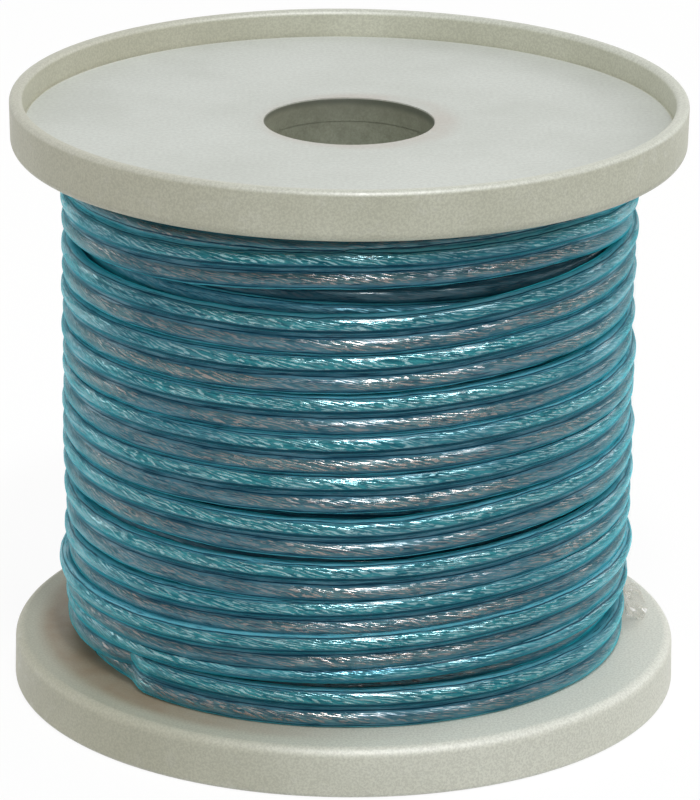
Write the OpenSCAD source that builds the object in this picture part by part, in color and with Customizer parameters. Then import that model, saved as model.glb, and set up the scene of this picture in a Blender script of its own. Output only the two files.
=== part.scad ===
// Spool of two-conductor cable: a moulded plastic spool with a dished flange at each end, wound with
// four layers of flat twin cable. Millimetres, +Z up. The origin is on the axis, at the plane that the
// lower rim stands on. Azimuths are in degrees round +Z: 0 is the front (-Y) and 90 is the right (+X).

/* [Flanges] */
// Outer diameter of both flanges
flange_d = 132; // [124:1:180]
// Height of a flange, from its inner face to its lip
flange_t = 10; // [8:0.2:14]
// Thickness of a flange's floor
floor_t = 4.4; // [2.2:0.1:5.4]
// Thickness of the rim round a flange
rim_wall = 2.6; // [2:0.1:4]
// Moulding draft: how much wider the rim is at its lip than at its foot, on the radius
rim_draft = 0.2; // [0:0.05:0.6]
// Rounding of the rim's lip
lip_round = 1; // [0.3:0.1:1]
// Rounding of the edge where a flange's inner face meets its outer wall
edge_round = 2; // [0.5:0.1:2.2]
// Fillet inside the recess, between the floor and the rim
foot_fillet = 0.2; // [0.2:0.1:1.6]

/* [Hub] */
// Clear distance between the two flanges
traverse = 100; // [60:0.4:120]
// Diameter of the mounting bore through both flanges
bore_d = 33; // [20:0.5:40]
// How much wider the arbor tube is inside than the bore, on the radius
bore_relief = 0.1; // [0.1:0.1:1]
// Wall of the arbor tube
arbor_wall = 2.2; // [1.2:0.1:4]
// Outer diameter of the barrel that the cable is wound on
barrel_d = 85; // [80:1:94]
// Wall of the barrel
barrel_wall = 2.5; // [1.5:0.1:4]
// Number of ribs inside the barrel
rib_count = 6; // [3:1:12]
// Thickness of a rib
rib_t = 2; // [1:0.1:4]
// Wall of the spigot and of the socket on each flange
collar_wall = 2; // [1.2:0.1:3]
// How far the spigot and the socket reach into the hub
collar_h = 7; // [3:0.5:12]
// Chamfer on the tip of the spigot and of the socket
collar_chamfer = 0.6; // [0:0.1:1]
// Gap on the radius between parts that plug into each other
fit_gap = 0.15; // [0.05:0.05:0.4]

/* [Label] */
// Thickness of the paper disc in the upper recess
label_t = 0.2; // [0.1:0.05:0.6]
// Gap between the disc and the fillet round it, and between its hole and the bore
label_margin = 0.2; // [0.2:0.1:4]

/* [Cable] */
// Diameter of one insulated lead of the pair
lead_d = 3.4; // [2.6:0.1:3.8]
// Thickness of the web that joins the leads
web_t = 1.3; // [0.6:0.1:2]
// Width of the web between the leads
web_w = 0.4; // [0.2:0.1:1.6]
// Diameter of the stranded conductor in a lead
conductor_d = 1.9; // [1:0.1:2.2]
// How far the strands stand out of the cut end
strand_end = 1; // [0.4:0.1:4]

/* [Winding] */
// Number of layers, with the outer one
layers = 4; // [2:1:4]
// Slack that a layer adds to the lead's diameter
layer_slack = 0.1; // [0:0.05:0.3]
// Least gap between two turns of the outer layer
turn_gap = 0.45; // [0.42:0.01:1]
// Gap between the winding and what it lies against
seat_gap = 0.2; // [0.1:0.05:0.4]
// Azimuth where the cable climbs out of the layer below, beside the lower flange
climb_az = -67.5; // [-97.5:15:-37.5]
// Azimuth of the cut end, beside the upper flange
cut_az = 97.5; // [52.5:15:127.5]

/* [Tape] */
// Width of the clear tape that holds the cut end down
tape_w = 26; // [15:1:40]
// Thickness of the tape
tape_t = 0.25; // [0.1:0.05:0.5]
// Bend where the tape turns out onto the lower flange
tape_bend = 2; // [1:0.1:4]
// How far the tape's end stays inside the flange's rounded edge
tape_margin = 0.5; // [0.2:0.1:3]

/* [Hidden] */
$fn = 128;
eps = 0.01;

flange_r = flange_d / 2;
recess_r = flange_r - rim_wall;
bore_r = bore_d / 2;
arbor_in_r = bore_r + bore_relief;
arbor_out_r = arbor_in_r + arbor_wall;
barrel_r = barrel_d / 2;
barrel_in_r = barrel_r - barrel_wall;
low_face = flange_t;
high_face = low_face + traverse;
total_h = high_face + flange_t;
collar_gap = 2 * fit_gap;

// The outer layer of cable. It is a chain of straight runs, so its inside dips between two rings by the
// factor chord_dip, and the layers under it are smaller by as much.
rings_per_turn = 24;
ring_az = 360 / rings_per_turn;
chord_dip = cos(ring_az / 2);
web_angle = acos(web_t / lead_d);
lead_spacing = web_w + sin(web_angle) * lead_d;
pair_w = lead_spacing + lead_d;
layer_step = lead_d + layer_slack;
wind_r = barrel_r + (layers - 0.5) * layer_step;
crest_r = wind_r + lead_d / 2;
core_r = (wind_r - lead_d / 2) * chord_dip - seat_gap;
climb_r = wind_r - layer_step;
first_z = low_face + seat_gap + pair_w / 2;
last_z = high_face - seat_gap - pair_w / 2;
part_turn = (cut_az - climb_az) / 360;
whole_turns = floor((last_z - first_z) / (pair_w + turn_gap) - part_turn);
steps = round((whole_turns + part_turn) * rings_per_turn);
step_rise = (last_z - first_z) / steps;

function radial(az) = [sin(az), -cos(az), 0];
function unit(v) = v / norm(v);

// Radius of the cable's centre at a ring. It leaves the layer below along a tangent, until it lies on
// that layer.
function path_r(i) =
    i * ring_az < acos(climb_r / wind_r) ? climb_r / cos(i * ring_az) : wind_r;
function path_az(i) = climb_az + i * ring_az;
function path_point(i) = path_r(i) * radial(path_az(i)) + [0, 0, first_z + i * step_rise];

// Frame of a ring: along the cable, outwards, and up across the pair.
function path_along(i) = unit(path_point(min(i + 1, steps)) - path_point(max(i - 1, 0)));
function path_out(i) =
    let (along = path_along(i), out = radial(path_az(i)))
    unit(out - (out * along) * along);
function path_up(i) = cross(path_out(i), path_along(i));

// Outline of the pair: two round leads, joined by a flat web. Each lead has points at these angles, and
// one more where each side of it runs into the web.
lead_angles = [0, 50, 90, 130, 180];
function lead_outline(side) = [
    side * [web_t / 2, web_w / 2],
    for (a = lead_angles)
        side * [cos(a) * lead_d / 2, lead_spacing / 2 + sin(a) * lead_d / 2],
    side * [-web_t / 2, web_w / 2]
];
pair_outline = concat(lead_outline(1), lead_outline(-1));
sides = len(pair_outline);
half_sides = sides / 2;

function ring_points(i) =
    let (centre = path_point(i), out = path_out(i), up = path_up(i))
    [for (p = pair_outline) centre + p.x * out + p.y * up];
rings = [for (i = [0 : steps]) ring_points(i)];

// Least distance between the points of a ring and those of the three nearest rings a turn higher.
least_gap = min([
    for (i = [0 : steps - rings_per_turn - 1], j = [-1 : 1])
        for (p = rings[i], q = rings[i + rings_per_turn + j])
            norm(p - q)
]);
echo(str("Least gap between two turns of the outer layer: ", least_gap, " mm"));
echo(str("Turns in the outer layer: ", steps / rings_per_turn));

// Outline of a flange on the plane of radius and height, with its inner face at 0 and its lip up.
module flange_outline() {
    lip_y = flange_t - lip_round;
    foot_r = flange_r - rim_draft;
    difference() {
        union() {
            // Floor, with the rounded edge at its corner
            translate([bore_r, 0])
                square([foot_r - edge_round - bore_r, floor_t]);
            translate([bore_r, edge_round])
                square([foot_r - bore_r, floor_t - edge_round]);
            intersection() {
                translate([foot_r - edge_round, edge_round])
                    circle(edge_round);
                translate([foot_r - edge_round, 0])
                    square(edge_round);
            }
            // Rim, with its draft and its rounded lip
            polygon([
                [recess_r, edge_round], [foot_r, edge_round],
                [flange_r, lip_y], [recess_r, lip_y]
            ]);
            translate([recess_r + lip_round, lip_y])
                circle(lip_round);
            translate([flange_r - lip_round, lip_y])
                circle(lip_round);
            translate([recess_r + lip_round, lip_y - eps])
                square([rim_wall - 2 * lip_round, lip_round + eps]);
            // Stock for the fillet
            translate([recess_r - foot_fillet, floor_t - eps])
                square([foot_fillet + eps, foot_fillet + eps]);
        }
        translate([recess_r - foot_fillet, floor_t + foot_fillet])
            circle(foot_fillet);
    }
}

// Ring on a flange's inner face that plugs into the barrel or round the arbor tube.
module collar_outline(inner_r) {
    tip = collar_chamfer;
    polygon([
        [inner_r, eps], [inner_r, tip - collar_h], [inner_r + tip, -collar_h],
        [inner_r + collar_wall - tip, -collar_h], [inner_r + collar_wall, tip - collar_h],
        [inner_r + collar_wall, eps]
    ]);
}

module flange() {
    rotate_extrude() {
        flange_outline();
        collar_outline(arbor_out_r + fit_gap);
        collar_outline(barrel_in_r - fit_gap - collar_wall);
    }
}

module top_flange() {
    color("#d6d8cd")
        translate([0, 0, high_face])
            flange();
}

module bottom_flange() {
    color("#d6d8cd")
        translate([0, 0, low_face])
            mirror([0, 0, 1])
                flange();
}

module tube(outer_r, inner_r, height) {
    difference() {
        cylinder(r = outer_r, h = height);
        translate([0, 0, -1])
            cylinder(r = inner_r, h = height + 2);
    }
}

// The ribs stop short of the arbor tube, and of the collars on both flanges.
module barrel() {
    rib_start = arbor_out_r + fit_gap;
    color("#c4c6ba")
        translate([0, 0, low_face]) {
            tube(barrel_r, barrel_in_r, traverse);
            for (i = [0 : rib_count - 1])
                rotate([0, 0, i * 360 / rib_count])
                    translate([rib_start, -rib_t / 2, collar_h + collar_gap])
                        cube([
                            barrel_in_r + barrel_wall / 2 - rib_start,
                            rib_t,
                            traverse - 2 * (collar_h + collar_gap)
                        ]);
        }
}

module arbor_tube() {
    color("#9c9f90")
        translate([0, 0, low_face])
            tube(arbor_out_r, arbor_in_r, traverse);
}

module top_label() {
    color("#e2e4de")
        translate([0, 0, high_face + floor_t])
            tube(recess_r - foot_fillet - label_margin, bore_r + label_margin, label_t);
}

// The layers under the outer one, as one body with rounded ends. The pocket beside the lower flange is
// the last turn of the layer below, which goes up into the outer layer there.
module inner_layers() {
    inner_r = barrel_r + seat_gap;
    height = traverse - 2 * seat_gap;
    round_r = lead_d / 2;
    pocket_r = climb_r - lead_d / 2 - seat_gap;
    pocket_h = pair_w + 2 * seat_gap + 2 * step_rise;
    color("#1f4a56")
        translate([0, 0, low_face + seat_gap])
            difference() {
                rotate_extrude() {
                    translate([inner_r, 0])
                        square([core_r - round_r - inner_r, height]);
                    translate([core_r - round_r - eps, round_r])
                        square([round_r + eps, height - 2 * round_r]);
                    for (y = [round_r, height - round_r])
                        translate([core_r - round_r, y])
                            circle(round_r);
                }
                rotate([0, 0, climb_az - 90])
                    rotate_extrude(angle = 2 * ring_az + 1)
                        translate([pocket_r, -1])
                            square([core_r - pocket_r + 1, pocket_h + 1]);
            }
}

// The cable is one unbroken tube, with a ring of points at each step of the path. Each end is closed by
// the two leads, as fans of triangles, and the web between them.
module outer_layer() {
    end_cap = concat(
        [for (lead = [0, half_sides], j = [1 : half_sides - 2]) [lead, lead + j, lead + j + 1]],
        [[0, half_sides - 1, half_sides], [0, half_sides, sides - 1]]
    );
    last = steps * sides;
    next = function (j) (j + 1) % sides;
    color("#3f8290")
        polyhedron(
            points = [for (ring = rings, p = ring) p],
            faces = [
                for (i = [0 : steps - 1], j = [0 : sides - 1])
                    let (a = i * sides, b = a + sides)
                    each [[a + j, b + j, a + next(j)], [a + next(j), b + j, b + next(j)]],
                each end_cap,
                for (face = end_cap)
                    [for (k = [2 : -1 : 0]) last + face[k]]
            ]
        );
}

// Stranded conductor where it stands out of the cut end, on the upper lead or the lower one.
module strands(side) {
    across = path_up(steps);
    out = path_out(steps);
    along = path_along(steps);
    foot = path_point(steps) + side * lead_spacing / 2 * across;
    multmatrix([
        [across.x, out.x, along.x, foot.x],
        [across.y, out.y, along.y, foot.y],
        [across.z, out.z, along.z, foot.z]
    ])
        cylinder(d = conductor_d, h = strand_end);
}

module tinned_strands() {
    color("#c9d2d2")
        strands(1);
}

module copper_strands() {
    color("#b87d5c")
        strands(-1);
}

// Clear tape down the side of the winding, over the cut end, and out onto the lower flange.
module end_tape() {
    inner_r = crest_r + 2 * seat_gap;
    bend_r = inner_r + tape_bend;
    foot_end = flange_r - rim_draft - edge_round - tape_margin;
    sweep = tape_w / inner_r * 180 / PI;
    color([0.85, 0.88, 0.85, 0.5])
        translate([0, 0, low_face])
            rotate([0, 0, cut_az - 90 - sweep / 2])
                rotate_extrude(angle = sweep) {
                    translate([inner_r, tape_bend])
                        square([tape_t, traverse - tape_bend - seat_gap]);
                    translate([bend_r, 0])
                        square([foot_end - bend_r, tape_t]);
                    intersection() {
                        translate([bend_r, tape_bend])
                            difference() {
                                circle(tape_bend);
                                circle(tape_bend - tape_t);
                            }
                        translate([inner_r, 0])
                            square(tape_bend);
                    }
                }
}

top_flange();
bottom_flange();
barrel();
arbor_tube();
top_label();
inner_layers();
outer_layer();
tinned_strands();
copper_strands();
end_tape();
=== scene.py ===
import bisect
import math
import bmesh
import bpy
from mathutils import Matrix, Vector, noise


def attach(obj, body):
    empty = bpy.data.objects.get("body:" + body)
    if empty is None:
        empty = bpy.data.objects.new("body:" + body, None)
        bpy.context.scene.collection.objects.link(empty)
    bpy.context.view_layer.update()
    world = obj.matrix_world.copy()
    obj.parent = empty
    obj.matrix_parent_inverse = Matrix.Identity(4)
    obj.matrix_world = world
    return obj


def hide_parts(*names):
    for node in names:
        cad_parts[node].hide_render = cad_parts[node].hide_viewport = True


# A spool of twin cable. Lengths are written in millimetres and made metres by mm. Azimuths are in
# degrees round the axis: 0 is the front, 90 is the right.
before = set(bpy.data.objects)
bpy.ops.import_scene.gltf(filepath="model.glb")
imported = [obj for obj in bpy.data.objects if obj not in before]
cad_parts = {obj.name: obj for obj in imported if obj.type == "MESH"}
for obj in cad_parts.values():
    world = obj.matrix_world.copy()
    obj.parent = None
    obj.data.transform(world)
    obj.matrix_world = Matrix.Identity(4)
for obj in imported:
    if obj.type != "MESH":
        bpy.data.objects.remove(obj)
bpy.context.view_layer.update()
bpy.ops.object.select_all(action="DESELECT")
mm = 0.001
# Heights of the spool's middle and of the two flanges' inner faces
middle, low_face, high_face = 60, 10, 110
# A flange: radius of its rim outside and inside, its floor, the rim's wall, and radius of the bore
rim_r, draft_r, floor_t, rim_wall, bore_r = 66, 65.8, 4.4, 2.6, 16.5
dish_r = rim_r - rim_wall


def radial(azimuth):
    """The direction straight out of the axis at an azimuth."""
    turn = math.radians(azimuth)
    return Vector((math.sin(turn), -math.cos(turn), 0))


def through(*points):
    """A smooth curve through points (x, y), as a function of x. It doesn't overshoot them."""
    xs, ys = zip(*points)
    rises = [(b[1] - a[1]) / (b[0] - a[0]) for a, b in zip(points, points[1:])]
    slopes = [0 if a * b <= 0 else 2 * a * b / (a + b) for a, b in zip(rises, rises[1:])]
    slopes = [rises[0], *slopes, rises[-1]]

    def curve(x):
        x = min(max(x, xs[0]), xs[-1])
        i = min(bisect.bisect_right(xs, x), len(xs) - 1) - 1
        span = xs[i + 1] - xs[i]
        t = (x - xs[i]) / span
        return (
            (2 * t**3 - 3 * t**2 + 1) * ys[i]
            + (t**3 - 2 * t**2 + t) * span * slopes[i]
            + (3 * t**2 - 2 * t**3) * ys[i + 1]
            + (t**3 - t**2) * span * slopes[i + 1]
        )

    return curve


# Camera, lamps and floor


def set_camera():
    """The camera, aimed at the middle of the spool from a little above its front."""
    tilt, roll, distance = 0.3309, 0.0105, 1004.4
    data = bpy.data.cameras.new("camera")
    data.sensor_width = 36
    data.lens = 228.36
    data.shift_x, data.shift_y = 0.00452, -0.01704
    camera = bpy.data.objects.new("camera", data)
    bpy.context.collection.objects.link(camera)
    ahead, above = distance * math.cos(tilt), distance * math.sin(tilt)
    camera.location = Vector((0, -ahead, above + middle)) * mm
    turn = Matrix.Rotation(math.pi / 2 - tilt, 4, "X") @ Matrix.Rotation(roll, 4, "Z")
    camera.rotation_euler = turn.to_euler()
    bpy.context.scene.camera = camera


def hang_lamp(name, azimuth, elevation, distance, size, radiance, gloss_only=False):
    """A soft lamp aimed at the middle of the spool, or one that only shows as a reflection."""
    data = bpy.data.lights.new(name, "AREA")
    data.shape = "RECTANGLE"
    data.size, data.size_y = size
    data.energy = radiance * math.pi * size[0] * size[1]
    lamp = bpy.data.objects.new(name, data)
    bpy.context.collection.objects.link(lamp)
    rise = math.radians(elevation)
    way = radial(azimuth) * math.cos(rise) + Vector((0, 0, math.sin(rise)))
    lamp.location = way * distance + Vector((0, 0, middle * mm))
    lamp.rotation_euler = way.to_track_quat("Z", "Y").to_euler()
    lamp.visible_diffuse = not gloss_only


# Shader maths


class Term:
    """A socket of a finish, with the arithmetic that adds its Math nodes."""

    def __init__(self, finish, socket):
        self.finish, self.socket = finish, socket

    def work(self, operation, *values):
        return self.finish.add("Math", {"operation": operation}, dict(enumerate(values)))

    def __add__(self, other):
        return self.work("ADD", self, other)

    def __sub__(self, other):
        return self.work("SUBTRACT", self, other)

    def __rsub__(self, other):
        return self.work("SUBTRACT", other, self)

    def __mul__(self, other):
        return self.work("MULTIPLY", self, other)

    def __truediv__(self, other):
        return self.work("DIVIDE", self, other)

    def __pow__(self, other):
        return self.work("POWER", self, other)

    __radd__, __rmul__ = __add__, __mul__

    def size(self):
        return self.work("ABSOLUTE", self)

    def sine(self):
        return self.work("SINE", self)

    def most(self, other):
        return self.work("MAXIMUM", self, other)


class Finish:
    """A material, and the ways that its nodes are added."""

    def __init__(self, name, tree=None):
        if tree is None:
            self.material = bpy.data.materials.new(name)
            self.material.use_nodes = True
            tree = self.material.node_tree
        self.tree = tree
        self.tree.nodes.clear()

    def add(self, kind, settings, sockets, result=0):
        """Adds a node of a kind, with its settings and then the values or links of its sockets."""
        node = self.tree.nodes.new("ShaderNode" + kind)
        for key, value in settings.items():
            setattr(node, key, value)
        for key, value in sockets.items():
            if isinstance(value, Term):
                self.tree.links.new(value.socket, node.inputs[key])
            else:
                node.inputs[key].default_value = value
        return Term(self, node.outputs[result])

    def step(self, value, low, high):
        """0 where the value is at low, 1 where it is at high, and smooth between."""
        sockets = {"Value": value, "From Min": low, "From Max": high}
        return self.add("MapRange", {"interpolation_type": "SMOOTHSTEP"}, sockets)

    def mix(self, factor, first, second):
        """A colour between two colours."""
        return self.add("Mix", {"data_type": "RGBA"}, {"Factor": factor, 6: first, 7: second}, 2)

    def grain(self, vector, scale, detail=2.0, roughness=0.5):
        """Noise from 0 to 1, over a vector."""
        sockets = {"Vector": vector, "Scale": scale, "Detail": detail, "Roughness": roughness}
        return self.add("TexNoise", {}, sockets)

    def vector(self, x, y=0.0, z=0.0):
        return self.add("CombineXYZ", {}, {0: x, 1: y, 2: z})

    def place(self):
        """The object's own coordinates, and each of them in millimetres."""
        here = self.add("TexCoord", {}, {}, "Object")
        parts = [self.add("SeparateXYZ", {}, {0: here}, i) * 1000 for i in range(3)]
        return here, *parts

    def bump(self, height, strength, distance):
        """A normal raised by a height from 0 to 1, over a distance in millimetres."""
        sockets = {"Strength": strength, "Distance": distance * mm, "Height": height}
        return self.add("Bump", {}, sockets)

    def seen(self):
        """1 for a ray from the camera, off a mirror or through the film, and else 0."""
        rays = ("Is Camera Ray", "Is Glossy Ray", "Is Transmission Ray")
        straight, mirrored, through_film = (self.add("LightPath", {}, {}, ray) for ray in rays)
        return straight.most(mirrored).most(through_film)

    def end(self, shader, kind="OutputMaterial"):
        """Leads a shader to the output."""
        output = self.tree.nodes.new("ShaderNode" + kind)
        self.tree.links.new(shader.socket, output.inputs["Surface"])

    def show(self, sockets):
        """Ends the material in one Principled shader."""
        self.end(self.add("BsdfPrincipled", {}, sockets))
        return self.material


def paint(red, green, blue):
    """A colour as it is seen on a screen, from 0 to 255, as a shader takes it."""
    parts = [c / 255 for c in (red, green, blue)]
    return (*(c / 12.92 if c <= 0.04045 else ((c + 0.055) / 1.055) ** 2.4 for c in parts), 1)


def light_world():
    """Plain fill light all round, and white where the camera or a mirror sees past the floor."""
    fill, white = (0.54, 0.54, 0.525, 1), (1, 1, 1, 1)
    world = bpy.data.worlds.new("studio")
    world.use_nodes = True
    bpy.context.scene.world = world
    studio = Finish("studio", world.node_tree)
    bright = studio.mix(studio.seen(), fill, white)
    studio.end(studio.add("Background", {}, {"Color": bright, "Strength": 1}), "OutputWorld")


def lay_floor():
    """A plain pale floor, white to the camera but for the shade that the spool throws."""
    grey, white, whiteness, share = (0.8, 0.8, 0.8, 1), (1, 1, 1, 1), 1.05, 0.86
    bpy.ops.mesh.primitive_plane_add(size=6, location=(0, 0, 0))
    floor = bpy.context.object
    floor.name = "floor"
    pale = Finish("pale_floor")
    cloth = pale.add("BsdfDiffuse", {}, {"Color": grey})
    glow = pale.add("Emission", {}, {"Color": white, "Strength": whiteness})
    pale.end(pale.add("MixShader", {}, {0: pale.seen() * share, 1: cloth, 2: glow}))
    floor.data.materials.append(pale.material)


# Finishes


def plastic_finish(name):
    """Off-white moulded polystyrene: satin, mottled and finely speckled and scuffed at the rim,
    with a painted highlight along each rim's crest, painted shade down the bore, brown painted
    shade where the cable lies on it, and painted light to the right of the lower flange and shade
    to the left."""
    f = Finish(name)
    here, x, y, z = f.place()
    reach = (x * x + y * y) ** 0.5
    from_middle = (z - middle).size()
    cloudy = f.grain(here, 45, 3)
    tone = f.mix(f.step(cloudy, 0.3, 0.7), paint(191, 192, 174), paint(203, 204, 187))
    speck = f.step(f.grain(here, 900, 2, 0.7), 0.58, 0.75)
    tone = f.mix(speck * 0.25, tone, paint(164, 165, 147))
    worn = f.step(reach, 63.2, 65.4) * f.step(f.grain(here, 260, 4, 0.65), 0.56, 0.66)
    tone = f.mix(worn * 0.3, tone, paint(208, 209, 198))
    # A painted highlight along the crest of each flange's outer rim
    lip_highlight = f.step(from_middle, 58.9, 59.7)
    tone = f.mix(lip_highlight * 0.45, tone, paint(222, 226, 220))
    # The bore, painted darker as shade, most toward its mouth, with a painted shadow just under the
    # mouth that is wider to the right
    dust = f.step(f.grain(here, 420, 4, 0.7), 0.3, 0.7)
    bore_shade = f.mix(dust, paint(150, 155, 136), paint(174, 179, 160))
    mouth_shade = f.step(from_middle, 46, 54)
    bore_shade = f.mix(mouth_shade * 0.6, bore_shade, paint(124, 126, 110))
    edge = f.step(from_middle + x * 0.02, 52.6, 54.0)
    bore_shade = f.mix(edge * 0.8, bore_shade, paint(84, 92, 80))
    tone = f.mix(f.step(reach, bore_r + 0.4, bore_r + 0.05), tone, bore_shade)
    # Brown painted contact shade round the cable on the lower flange, browner to the left
    close = f.step(reach, 62.6, 58.6) * f.step((z - low_face).size(), 1.2, 0.2)
    left = f.step(x, 25, -45)
    patchy = f.step(f.grain(here, 90, 3, 0.6), 0.3, 0.7)
    contact_shade = close * (0.2 + 0.68 * left) * (0.65 + 0.35 * patchy)
    tone = f.mix(contact_shade, tone, paint(136, 98, 60))
    # Painted light on the lower flange to the right, less on its outer wall, and painted shade on
    # both flanges to the left
    right_light = f.step(z, 30, 12) * f.step(x, -50, 42) * (1 - 0.3 * f.step(reach, 65.4, 65.9))
    tone = f.mix(right_light * 0.85, tone, paint(238, 239, 229))
    dull = f.step(x, 5, -50)
    tone = f.mix(dull * 0.36, tone, paint(168, 162, 140))
    sand = f.step(f.grain(here, 2200, 2, 0.7), 0.62, 0.38)
    tone = f.mix(sand * 0.24, tone, paint(120, 118, 104))
    bumps = f.bump(f.grain(here, 1500, 2, 0.6) + cloudy * 3, 0.25, 0.12)
    rough = 0.42 + 0.12 * cloudy - 0.1 * worn
    return f.show({"Base Color": tone, "Roughness": rough, "Normal": bumps, "IOR": 1.5})


def paper_finish():
    """Bare matt paper, with a trace of its fibres and, round the hole, of the glue under it."""
    f = Finish("label_paper")
    here, x, y, z = f.place()
    cloud = f.grain(here, 28, 3, 0.6)
    fibre = f.grain(f.vector(x * 0.5, y * 2.2, z), 1.6, 3, 0.7)
    tone = f.mix(f.step(cloud, 0.3, 0.7), paint(199, 203, 197), paint(210, 214, 209))
    tone = f.mix(f.step(fibre, 0.6, 0.8) * 0.2, tone, paint(178, 182, 175))
    pulp = f.step(f.grain(here, 1300, 3, 0.7), 0.65, 0.35)
    tone = f.mix(pulp * 0.18, tone, paint(140, 140, 136))
    reach = ((x - 2) * (x - 2) + y * y) ** 0.5
    glue = f.step(reach, 21.5, 17) * f.step(cloud, 0.35, 0.6)
    tone = f.mix(glue * 0.4, tone, paint(172, 150, 138))
    bumps = f.bump(fibre * 0.4 + cloud * 2, 0.3, 0.1)
    return f.show({"Base Color": tone, "Roughness": 0.62 + 0.1 * cloud, "Normal": bumps})


def cable_finish(name, shown):
    """Clear blue jacket over two stranded conductors, a tinned one above and a bare one below. The
    pattern follows the cable in millimetres: u along it, and v round its section from the web's
    middle. How much of the conductors shows is from 0 to 1."""
    f = Finish(name)
    here = f.add("UVMap", {"uv_map": "along"}, {})
    u, v = (f.add("SeparateXYZ", {}, {0: here}, i) for i in (0, 1))
    lit = f.add("Attribute", {"attribute_name": "lit"}, {}, "Fac")
    turned = f.add("Attribute", {"attribute_name": "turned"}, {}, "Fac")
    # Strands: fine uneven ridges at the lay angle, broken up by the jacket over them
    lay, strand = math.radians(11), 0.5
    across = v * math.cos(lay) + u * math.sin(lay)
    ahead = u * math.cos(lay) - v * math.sin(lay)
    drift = f.grain(f.vector(ahead * 0.12, across * 0.5), 1, 2)
    ridge = 0.5 + 0.5 * ((across / strand + drift * 4.5) * (2 * math.pi)).sine()
    streak = f.grain(f.vector(across * 1.9, ahead * 0.13), 1, 4, 0.65)
    cloud = f.grain(f.vector(u * 0.08, v * 0.6), 1, 3, 0.6)
    fleck = f.grain(f.vector(across * 2.2, ahead * 0.5, 4), 1, 2, 0.6)
    spark = f.step(ridge * 0.25 + fleck, 0.64, 0.76)
    streaky = f.step(streak, 0.22, 0.78)
    tinned = f.mix(streaky, paint(8, 84, 102), paint(74, 164, 172))
    tinned = f.mix(spark * 0.75, tinned, paint(156, 188, 191))
    copper = f.mix(streaky, paint(40, 80, 94), paint(116, 148, 153))
    copper = f.mix(spark * 0.7, copper, paint(162, 142, 132))
    # Where each conductor shows through its lead
    high_core, low_core = 2.8, -1.95
    upper = f.step(v, 0.55, 0.75)
    low_lead = 1 - upper
    wander = (f.grain(f.vector(u * 0.15, 3), 1, 3) - 0.5) * 0.6
    fray = streak - 0.5
    off = v - turned - wander - (upper * (high_core - low_core) + low_core)
    veil = f.step(f.grain(f.vector(u * 0.03, v * 0.1, 7), 1, 2), 0.42, 0.66)
    inside = f.step(off.size() + fray, 1.28, 0.78) * (1 - 0.45 * veil) * shown
    # The clear jacket, with paler painted light along the outer shoulders of the pair
    clear = f.mix(f.step(cloud, 0.36, 0.62), paint(48, 98, 120), paint(72, 134, 157))
    low_shoulder_light = f.step((v + 4.6).size(), 1.2, 0.3) * 0.85
    high_shoulder_light = f.step((v - 4.8).size(), 0.9, 0.3) * 0.75
    clear = f.mix(low_shoulder_light.most(high_shoulder_light), clear, paint(120, 205, 225))
    tone = f.mix(inside, clear, f.mix(upper, copper, tinned))
    # Dark strokes and pale gleams in the jacket, along the turns
    stroke = f.step(f.grain(f.vector(u * 0.13, v * 2.6, 9), 1, 3, 0.7), 0.54, 0.64)
    tone = f.mix(stroke * (0.88 - 0.3 * inside), tone, paint(8, 46, 74))
    gleam = f.step(f.grain(f.vector(u * 0.14, v * 3.8, 17), 1, 3, 0.7), 0.58, 0.7)
    gleam_tone = f.mix(inside * low_lead, paint(104, 176, 190), paint(148, 160, 164))
    tone = f.mix(gleam * 0.3, tone, gleam_tone)
    # Dark lines: a wide one beside the web, and thin ones at the web and on the shoulders
    line = 0
    for where, half_width in ((1.2, 0.46), (-0.3, 0.1), (-3.5, 0.14), (4.35, 0.14)):
        sway = (f.grain(f.vector(u * 0.11, where * 9), 1, 3) - 0.5) * 0.75
        away = (v - where - turned * 0.5 - sway).size()
        line = f.step(away, half_width + 0.12, half_width - 0.06).most(line)
    line = line * f.step(cloud + fray * 0.3, 0.22, 0.42)
    tone = f.mix(line * 0.92, tone, paint(8, 42, 68))
    # A scuff where the start climbs out of the layer below
    scuff = f.step((u - 21).size(), 5, 1) * f.step(fleck, 0.5, 0.62)
    tone = f.mix(scuff * 0.5, tone, paint(120, 205, 212))
    # Painted light: brighter on the lower side of each conductor, and painted light or shade along
    # the turns from the lit attribute
    lower_side_light = f.step(off, 1.0, -1.0)
    bright = lit * (0.84 + 0.3 * lower_side_light * inside)
    shade = {"data_type": "RGBA", "blend_type": "MULTIPLY"}
    tone = f.add("Mix", shade, {"Factor": 1.0, 6: tone, 7: f.vector(bright, bright, bright)}, 2)
    height = inside * (ridge * 0.3 + fleck * 1.6 + streak * 0.8) + cloud
    wet = 0.04 + 0.8 * f.step(cloud, 0.45, 0.58)
    coat = wet * (1 - 0.6 * inside * low_lead) * (1 - 0.85 * line.most(stroke))
    return f.show({
        "Base Color": tone,
        "Metallic": inside * spark * 0.85,
        "Roughness": 0.42 - 0.16 * inside,
        "Normal": f.bump(height, 1.0, 0.08),
        "Specular IOR Level": 0.1,
        "Specular Tint": paint(120, 215, 235),
        "Subsurface Weight": 0.6,
        "Subsurface Radius": (0.3, 0.8, 1.0),
        "Subsurface Scale": 0.0012,
        "Coat Weight": coat,
        "Coat Roughness": 0.18,
        "Coat IOR": 1.4,
        "Sheen Weight": 1.0,
        "Sheen Roughness": 0.36,
        "Sheen Tint": paint(60, 235, 255),
    })


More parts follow.
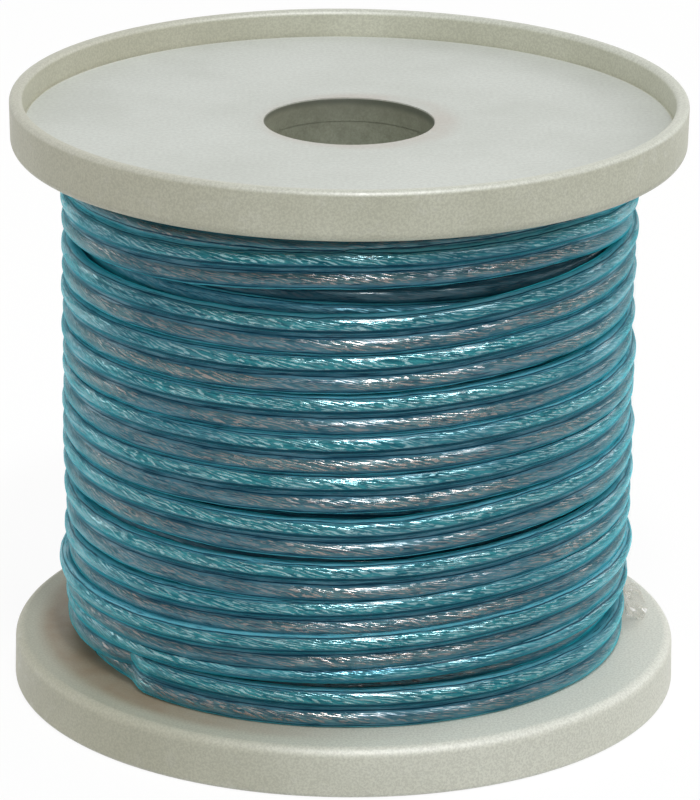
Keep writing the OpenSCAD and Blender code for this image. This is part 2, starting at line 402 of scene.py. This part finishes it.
def bare_metal(name, dull, bright, tarnish):
    """Drawn wire, a little uneven and tarnished in patches."""
    f = Finish(name)
    here = f.place()[0]
    cloud = f.grain(here, 900, 3, 0.6)
    tone = f.mix(f.step(cloud, 0.3, 0.7), dull, bright)
    tone = f.mix(f.step(f.grain(here, 300, 2), 0.55, 0.75) * 0.3, tone, tarnish)
    rough, bumps = 0.28 + 0.2 * cloud, f.bump(cloud, 0.4, 0.02)
    return f.show({"Base Color": tone, "Metallic": 1.0, "Roughness": rough, "Normal": bumps})


def film_finish():
    """Clear sticky film: all but see-through over the turns, hazy and yellowed at its crumpled
    foot."""
    f = Finish("clear_film")
    here, x, y, z = f.place()
    haze = f.grain(f.vector(x, y, z * 0.35), 0.45, 4, 0.7)
    foot = f.step(z, 18, 13.5)
    milky = f.step(haze, 0.42, 0.66)
    dirt = f.step(f.grain(here, 800, 3, 0.6), 0.55, 0.7) * foot
    glint = f.step(f.grain(here, 380, 1), 0.6, 0.66) * foot
    tone = f.mix(milky, paint(176, 164, 140), paint(222, 216, 198))
    tone = f.mix(dirt * 0.5, tone, paint(140, 118, 88))
    tone = f.mix(glint, tone, paint(252, 252, 248))
    return f.show({
        "Base Color": tone,
        "Alpha": 0.04 + 0.05 * milky + foot * (0.1 + 0.24 * milky + 0.6 * glint),
        "Roughness": 0.16 + 0.2 * milky,
        "Normal": f.bump(haze * (0.03 + foot), 0.8, 1.2),
        "Coat Weight": 1.0,
        "Coat Roughness": 0.05,
    })


# Modelling


def pick(piece, kind, test):
    """Selects, in edit mode, only the faces or edges of a piece that pass a test."""
    mesh = bmesh.from_edit_mesh(piece.data)
    bpy.ops.mesh.select_mode(type=kind)
    bpy.ops.mesh.select_all(action="DESELECT")
    for part in mesh.faces if kind == "FACE" else mesh.edges:
        part.select_set(bool(test(part)))
    mesh.select_flush_mode()
    bmesh.update_edit_mesh(piece.data)


def ring_edge(radius, height):
    """A test for the edges of a ring round the axis, in millimetres."""
    def test(edge):
        return all(
            abs(v.co.to_2d().length / mm - radius) < 0.06 and abs(v.co.z / mm - height) < 0.03
            for v in edge.verts
        )
    return test


def flat_face(inner, outer, height):
    """A test for level faces between two radii at a height, in millimetres."""
    def test(face):
        far = max(v.co.to_2d().length for v in face.verts) / mm
        near = min(v.co.to_2d().length for v in face.verts) / mm
        level = all(abs(v.co.z / mm - height) < 0.03 for v in face.verts)
        return level and near > inner - 0.1 and far < outer + 0.1
    return test


def keep(piece, slot, *nodes):
    """Puts a finished piece on the body, in the place of the solids that it stands for."""
    bpy.ops.object.select_all(action="DESELECT")
    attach(piece, "root")
    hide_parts(*nodes)


def extrude(rise):
    """Extrudes the selected faces up by a rise in millimetres."""
    bpy.ops.mesh.extrude_region_move(TRANSFORM_OT_translate={"value": (0, 0, rise * mm)})


def mould_flange(name, node, under):
    """A flange: a floor with a bore, a rim round a dished outer side, and two collars inside."""
    tube_collar, barrel_collar, collar_t, collar_h, chamfer = 18.95, 39.35, 2, 7, 0.6
    bore_lip = 0.15
    bpy.ops.mesh.primitive_cone_add(
        vertices=240, radius1=draft_r * mm, radius2=rim_r * mm, depth=low_face * mm,
        end_fill_type="NGON", location=(0, 0, low_face / 2 * mm),
    )
    flange = bpy.context.object
    flange.name = name
    bpy.ops.object.transform_apply(location=True)
    bpy.ops.object.mode_set(mode="EDIT")
    # The dish, down to the floor, and the bore's outline on it
    pick(flange, "FACE", flat_face(0, rim_r, low_face))
    bpy.ops.mesh.inset(thickness=rim_wall * mm)
    extrude(floor_t - low_face)
    bpy.ops.mesh.inset(thickness=(dish_r - bore_r) * mm)
    # The outlines of the collars and the bore on the inner side
    pick(flange, "FACE", flat_face(0, draft_r, 0))
    outlines = (
        draft_r, barrel_collar + collar_t, barrel_collar,
        tube_collar + collar_t, tube_collar, bore_r,
    )
    for outer, inner in zip(outlines, outlines[1:]):
        bpy.ops.mesh.inset(thickness=(outer - inner) * mm)
    # The lip of the bore, down onto the end of the arbor tube
    pick(flange, "FACE", flat_face(bore_r, tube_collar, 0))
    extrude(-bore_lip)
    # The collars that plug into the barrel and round the arbor tube
    for inner in (tube_collar, barrel_collar):
        pick(flange, "FACE", flat_face(inner, inner + collar_t, 0))
        extrude(-collar_h)
        for radius in (inner, inner + collar_t):
            pick(flange, "EDGE", ring_edge(radius, -collar_h))
            bpy.ops.mesh.bevel(offset=chamfer * mm, segments=1, affect="EDGES")
    # The bore, between the two round faces that are left in its outlines
    pick(flange, "FACE", lambda face: len(face.verts) > 100)
    bpy.ops.mesh.bridge_edge_loops()
    for radius, height, width, segments in (
        (rim_r, low_face, 1, 6), (dish_r, low_face, 1, 6), (draft_r, 0, 2, 9),
        (dish_r, floor_t, 0.2, 3), (bore_r, floor_t, 0.12, 2),
    ):
        pick(flange, "EDGE", ring_edge(radius, height))
        bpy.ops.mesh.bevel(
            offset=width * mm, segments=segments, affect="EDGES", clamp_overlap=False
        )
    bpy.ops.mesh.select_all(action="SELECT")
    if under:
        bpy.ops.transform.mirror(constraint_axis=(False, False, True), center_override=(0, 0, 0))
        bpy.ops.transform.translate(value=(0, 0, low_face * mm))
    else:
        bpy.ops.transform.translate(value=(0, 0, high_face * mm))
    bpy.ops.mesh.normals_make_consistent(inside=False)
    bpy.ops.object.mode_set(mode="OBJECT")
    bpy.ops.object.shade_smooth_by_angle(angle=math.radians(40))
    flange.modifiers.new("even", "WEIGHTED_NORMAL").keep_sharp = True
    bpy.ops.object.modifier_apply(modifier="even")
    keep(flange, "spool_plastic", node)
    return flange


# The cable


# Radius of a lead, distance of its middle from the web's, and half the web's thickness
lead_r, lead_off, web_half = 1.78, 2.17, 1.0
# Half of the way over the web, on the outer side of the pair and on its inner side
web_front, web_back = 0.73, 0.64
# A winding azimuth counts on, turn after turn. The start climbs out of the layer below just after
# climb, and the end is cut off at cut. The layer below is wound at the radius low_r.
climb, cut, low_r = -67.5, 4417.5, 51.1
climb_from, climb_to = -58, -43
# How far the pair's middle is above or below the spool's where it lies against a flange, and how
# much the layer below rises in a turn
seat, pitch = 46.1, 7.76
# Height of the pair's middle over the spool's, for each turn above the lowest, at azimuths -45, 0
# and 45
turn_heights = [
    (-42.3, -40.7, -39.5), (-36.5, -34.5, -32.7), (-29.4, -27.7, -25.7), (-20.9, -20.5, -18.4),
    (-11.5, -11.7, -9.2), (-3.3, -2.5, -1.0), (4.5, 5.2, 6.6), (12.2, 13.0, 14.3),
    (20.3, 21.2, 23.2), (28.6, 28.9, 31.1), (39.2, 41.6, 41.7), (45.6, 46.8, 47.3),
]
# How far out the crest of the cable is, each half turn from azimuth 90 of the lowest one
turn_crests = [
    56.1, 55.7, 56.5, 56.9, 57.3, 55.9, 56.8, 55.8, 56.9, 56.1, 57.1, 56.2, 56.7, 56.1, 57.1, 56.2,
    56.6, 56.2, 56.6, 56.2, 56.9, 56.3, 56.6, 55.2, 56.4,
]
# The turn under the last one dips on the right, onto the turn below it
dip = [(4026, 40.5), (4044, 39.2), (4060, 38.9), (4110, 39.6)]
height_at = through(*sorted([
    (climb, -seat), (-56, -seat), (0, -seat), (45, -seat), (200, -45.4), (285, -43.7), (305, -43.0),
    *(
        (360 * k + a, height)
        for k, row in enumerate(turn_heights, 1)
        for a, height in zip((-45, 0, 45), row)
    ),
    *dip, (cut, seat),
]))
# How far the pair leans, in degrees
lean_at = through(
    (climb, 0), (0, 4), (140, 6), (285, 4), (300, 10), (318, 46), (365, 48), (410, 36), (520, 22),
    (720, 16), (1080, 8), (1440, 4), (2520, 3), (3900, 4), (3990, 16), (4140, 10), (4240, -50),
    (4365, -60), (cut, -4),
)
# The last turn steps inward by 0.9 at azimuth 0, under the flange, where its own four points begin
crest_at = through(
    (climb, low_r + lead_r), (-56, low_r + lead_r), (-44, 55.9), (-10, 56.2),
    *((90 + 180 * i, crest) for i, crest in enumerate(turn_crests)),
    (4320, 54.6), (4365, 55.2), (4395, 56.7), (cut, 56.9),
)


def wobble(x, seed, length):
    """Small uneven movement, from -1 to 1, over a length."""
    return noise.noise(Vector((x / length, seed * 7.3, 0.5)))


def outer_point(a):
    """Middle of the cable in the outer layer, and how far it leans, at a winding azimuth."""
    lean = lean_at(a) + 4 * wobble(a, 1, 50)
    leaned_out = lead_off * math.sin(math.radians(abs(lean)))
    out = crest_at(a) - lead_r - leaned_out + 0.18 * wobble(a, 2, 35)
    if a < climb_to:
        ease = min(max((a - climb_from) / (climb_to - climb_from), 0), 1)
        ease = ease * ease * (3 - 2 * ease)
        out = low_r + (out - low_r) * ease
        lean = lean * ease
    rise = height_at(a) + 0.12 * wobble(a, 3, 30)
    return radial(a) * out + Vector((0, 0, middle + rise)), lean


def lower_point(a):
    """Middle of the cable in the layer below, which comes down onto the lower flange, unleaned."""
    return radial(a) * low_r + Vector((0, 0, middle - seat + pitch * (climb - a) / 360)), 0


def section():
    """Points of the pair's section, out and up from its middle, with the way round it from the web.
    Each lead is a circle that the winding has pressed a little square."""
    neck = math.acos(web_half / lead_r)
    front = [-neck + math.radians(16) * i for i in range(11)]
    back = [front[-1] + (math.pi + neck - front[-1]) * i / 5 for i in range(1, 6)]

    def pressed(part):
        return math.copysign(abs(part) ** 0.84, part) * lead_r

    upper = [
        (pressed(math.cos(a)), lead_off + pressed(math.sin(a)), web_front + (a + neck) * lead_r)
        for a in front + back
    ]
    lower = [(x, -y, -v) for x, y, v in reversed(upper)]
    return [*lower, (web_half * 0.97, 0, 0), *upper]


def draw_cable(point_at, first, last, rings, lit_at):
    """A mesh of the cable along a path: points, faces, each face corner's place on the cable, and
    for each point its painted light or shade and how far the lean has turned the leads' faces."""
    outline = section()
    sides = len(outline)
    step, cap_way = 3, 6.0
    points, marks, lights, leans = [], [], [], []
    run = 0.0
    before = None
    for i in range(rings + 1):
        a = first + (last - first) * i / rings
        here, lean = point_at(a)
        ahead = (point_at(min(a + step, last))[0] - point_at(max(a - step, first))[0]).normalized()
        level = radial(a)
        level = (level - ahead * level.dot(ahead)).normalized()
        upright = level.cross(ahead)
        turn = math.radians(lean)
        out = level * math.cos(turn) - upright * math.sin(turn)
        up = upright * math.cos(turn) + level * math.sin(turn)
        run += (here - before).length if before else 0
        before = here
        for x, y, v in outline:
            lump = 1 + 0.045 * noise.noise(Vector((run / 6, v / 1.5, 0)))
            lump += 0.014 * noise.noise(Vector((run / 2.2, v / 0.8, 5)))
            points.append((here + (out * x + up * y) * lump) * mm)
        marks.append(run)
        lights.append(lit_at(a))
        leans.append(lead_r * turn)
    faces, places = [], []
    ways = [v for x, y, v in outline] + [outline[-1][2] + 2 * web_back]
    for i in range(rings):
        for j in range(sides):
            k = (j + 1) % sides
            faces.append((i * sides + j, (i + 1) * sides + j, (i + 1) * sides + k, i * sides + k))
            corners = ((i, j), (i + 1, j), (i + 1, j + 1), (i, j + 1))
            places += [(marks[ring], ways[side]) for ring, side in corners]
    for ring, back in ((0, False), (rings, True)):
        loop = [ring * sides + j for j in range(sides)]
        faces.append(tuple(reversed(loop)) if back else tuple(loop))
        places += [(marks[ring], cap_way)] * sides
    every = [[value for value in values for _ in range(sides)] for values in (lights, leans)]
    return points, faces, places, *every


def wind(name, path, lit_at):
    """An object for a run of cable."""
    points, faces, places, lights, leans = draw_cable(*path, lit_at)
    mesh = bpy.data.meshes.new(name)
    mesh.from_pydata(points, [], faces)
    layer = mesh.uv_layers.new(name="along")
    for corner, place in zip(layer.data, places):
        corner.uv = place
    for mark, values in (("lit", lights), ("turned", leans)):
        mesh.attributes.new(mark, "FLOAT", "POINT").data.foreach_set("value", values)
    mesh.validate()
    piece = bpy.data.objects.new(name, mesh)
    bpy.context.collection.objects.link(piece)
    bpy.context.view_layer.objects.active = piece
    piece.select_set(True)
    bpy.ops.object.shade_smooth()
    return piece


def lay_wires(name, side, slot, finish):
    """The bare end of one conductor: nineteen fine wires, in two rings round a middle one."""
    wire_r, chamfer, buried = 0.18, 0.04, 3
    end = outer_point(cut)[0]
    ahead = (end - outer_point(cut - 2)[0]).normalized()
    out = radial(cut)
    up = out.cross(ahead)
    centre = end + up * side * lead_off
    bpy.ops.object.select_all(action="DESELECT")
    wires = []
    for count, ring in ((1, 0), (6, 0.39), (12, 0.78)):
        for i in range(count):
            turn = 2 * math.pi * i / count + ring
            spot = centre + (out * math.cos(turn) + up * math.sin(turn)) * ring
            bare = 1.0 + 0.16 * math.sin(5 * turn + ring * 9)
            bpy.ops.mesh.primitive_cylinder_add(
                vertices=8, radius=wire_r * mm, depth=(bare + buried) * mm
            )
            wire = bpy.context.object
            wire.rotation_euler = ahead.to_track_quat("Z", "Y").to_euler()
            wire.location = (spot + ahead * (bare - buried) / 2) * mm
            bpy.ops.object.transform_apply(location=True, rotation=True)
            bpy.ops.object.mode_set(mode="EDIT")
            bpy.ops.mesh.bevel(offset=chamfer * mm, segments=1, affect="EDGES")
            bpy.ops.object.mode_set(mode="OBJECT")
            wires.append(wire)
    for wire in wires:
        wire.select_set(True)
    bpy.ops.object.join()
    bundle = bpy.context.object
    bundle.name = name
    bpy.ops.object.transform_apply()
    bpy.ops.object.shade_smooth_by_angle(angle=math.radians(40))
    bundle.data.materials.append(finish)
    keep(bundle, slot, name.replace("_wires", "_strands"))


def cut_core():
    """A plain ring, which stands for the cable inside the layer below."""
    core_r, core_wall, core_h = 50, 6.6, 99.6
    bpy.ops.object.select_all(action="DESELECT")
    bpy.ops.mesh.primitive_cylinder_add(
        vertices=96, radius=core_r * mm, depth=core_h * mm, location=(0, 0, middle * mm)
    )
    core = bpy.context.object
    bpy.ops.object.transform_apply(location=True)
    bpy.ops.object.mode_set(mode="EDIT")
    pick(core, "FACE", lambda face: len(face.verts) > 50)
    bpy.ops.mesh.inset(thickness=core_wall * mm)
    bpy.ops.mesh.bridge_edge_loops()
    bpy.ops.object.mode_set(mode="OBJECT")
    return core


def lay_film():
    """A strip of clear film over the cut end, down across the turns and out onto the lower flange,
    where it has crumpled. Its grid goes from -1 to 1, across it and down it."""
    centre, half, off_turns, farthest = 98, 12.5, 0.12, 63.6
    bpy.ops.mesh.primitive_grid_add(x_subdivisions=48, y_subdivisions=200, size=2)
    film = bpy.context.object
    film.name = "end_film"
    # How far out the crests are at a height, and, by the place down the strip, how far out its foot
    # goes and its height
    turns = [360 * k + centre for k in range(12)]
    crests = [(middle + height_at(a), crest_at(a) + off_turns) for a in turns]
    over_turns = through((12, 57.4), *crests, (107, 57.1))
    foot_out = through((0.84, 0), (0.9, 0.6), (0.94, 1.8), (0.97, 3.1), (1, 4.7))
    rise = through((-1, 109.6), (0.84, 17), (0.9, 13.6), (0.94, 12.1), (0.97, 11), (1, 10.3))
    for vertex in film.data.vertices:
        across, down = vertex.co.x, vertex.co.y
        foot = min(max((down - 0.8) / 0.08, 0), 1)
        local = (down - 0.9) * 10
        tail = max(local, 0)
        sway = 1.4 * wobble(local, 8, 0.35) + tail * 3 * (1 - across)
        azimuth = centre + half * across + foot * sway * abs(across)
        crumple = 0.9 * noise.noise(Vector((across * 4.2, local * 1.6, 2)))
        crumple += 0.35 * noise.noise(Vector((across * 9, local * 7, 4)))
        loose = foot * (1 - abs(local) ** 4) if abs(local) < 1 else 0
        lift = rise(down)
        out = over_turns(lift) + foot_out(down + 0.01 * wobble(across, 9, 0.3))
        out += 0.12 * noise.noise(Vector((across * 2, lift / 4, 7))) * (1 - foot)
        out += max(0.7 * loose * (0.35 + crumple), -0.3) + foot * across * tail * 2.2
        lift = max(lift + 0.8 * loose * crumple, low_face + 0.1)
        vertex.co = (radial(azimuth) * min(out, farthest) + Vector((0, 0, lift))) * mm
    bpy.ops.object.mode_set(mode="EDIT")
    bpy.ops.mesh.select_all(action="SELECT")
    bpy.ops.mesh.normals_make_consistent(inside=False)
    bpy.ops.object.mode_set(mode="OBJECT")
    bpy.ops.object.shade_smooth()
    film.data.materials.append(film_finish())
    keep(film, "clear_film", "end_tape")


set_camera()
light_world()
lay_floor()
# Azimuth and elevation in degrees, distance and size in metres, and radiance
hang_lamp("front_lamp", 9, 60, 1.0, (0.13, 0.13), 49)
hang_lamp("side_lamp", 28, 62, 1.0, (0.12, 0.12), 14)
hang_lamp("front_strip", 10, 46, 1.01, (0.13, 0.8), 52, gloss_only=True)
hang_lamp("side_strip", 50, 46, 1.01, (0.11, 0.8), 30, gloss_only=True)
hang_lamp("right_fill", 118, 24, 1.2, (0.6, 0.5), 3.3)
hang_lamp("left_fill", -112, 12, 1.2, (0.6, 0.5), 1.6)

plastic = plastic_finish("spool_plastic")
finishes = {
    "barrel": plastic,
    "arbor_tube": plastic_finish("tube_plastic"),
    "top_label": paper_finish(),
}
for node, finish in finishes.items():
    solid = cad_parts[node].data
    solid.materials.clear()
    solid.materials.append(finish)
mould_flange("upper_flange", "top_flange", False).data.materials.append(plastic)
mould_flange("lower_flange", "bottom_flange", True).data.materials.append(plastic)

# The outer layer, with painted shade under the upper flange
outer_light = through((climb, 1), (4200, 1), (4260, 0.8), (cut, 0.8))
outer = wind("outer_turns", (outer_point, climb, cut, 2950), outer_light)
outer.data.materials.append(cable_finish("jacket", 1))
keep(outer, "jacket", "outer_layer")

# The layer below, with painted light or shade where a gap in the outer layer shows it, with its
# core
shaded_jacket = cable_finish("shaded_jacket", 0.3)
lower_start = climb - 11.8 * 360
lower_light = through(
    (-4390, 0.55), (-3780, 0.55), (-3640, 1.4), (-1500, 1.4), (-1360, 0.4), (-830, 0.4),
    (-700, 1.2), (climb, 1),
)
lower = wind("lower_turns", (lower_point, lower_start, climb, 860), lower_light)
core = cut_core()
for piece in (lower, core):
    piece.data.materials.append(shaded_jacket)
lower.select_set(True)
bpy.context.view_layer.objects.active = lower
bpy.ops.object.join()
keep(lower, "shaded_jacket", "inner_layers")

tin = paint(150, 160, 160), paint(208, 214, 212), paint(120, 150, 155)
lay_wires("tinned_wires", 1, "tinned_copper", bare_metal("tinned_copper", *tin))
copper = paint(150, 98, 70), paint(214, 150, 116), paint(120, 84, 66)
lay_wires("copper_wires", -1, "bare_copper", bare_metal("bare_copper", *copper))
lay_film()

bpy.context.scene.view_settings.view_transform = "Standard"
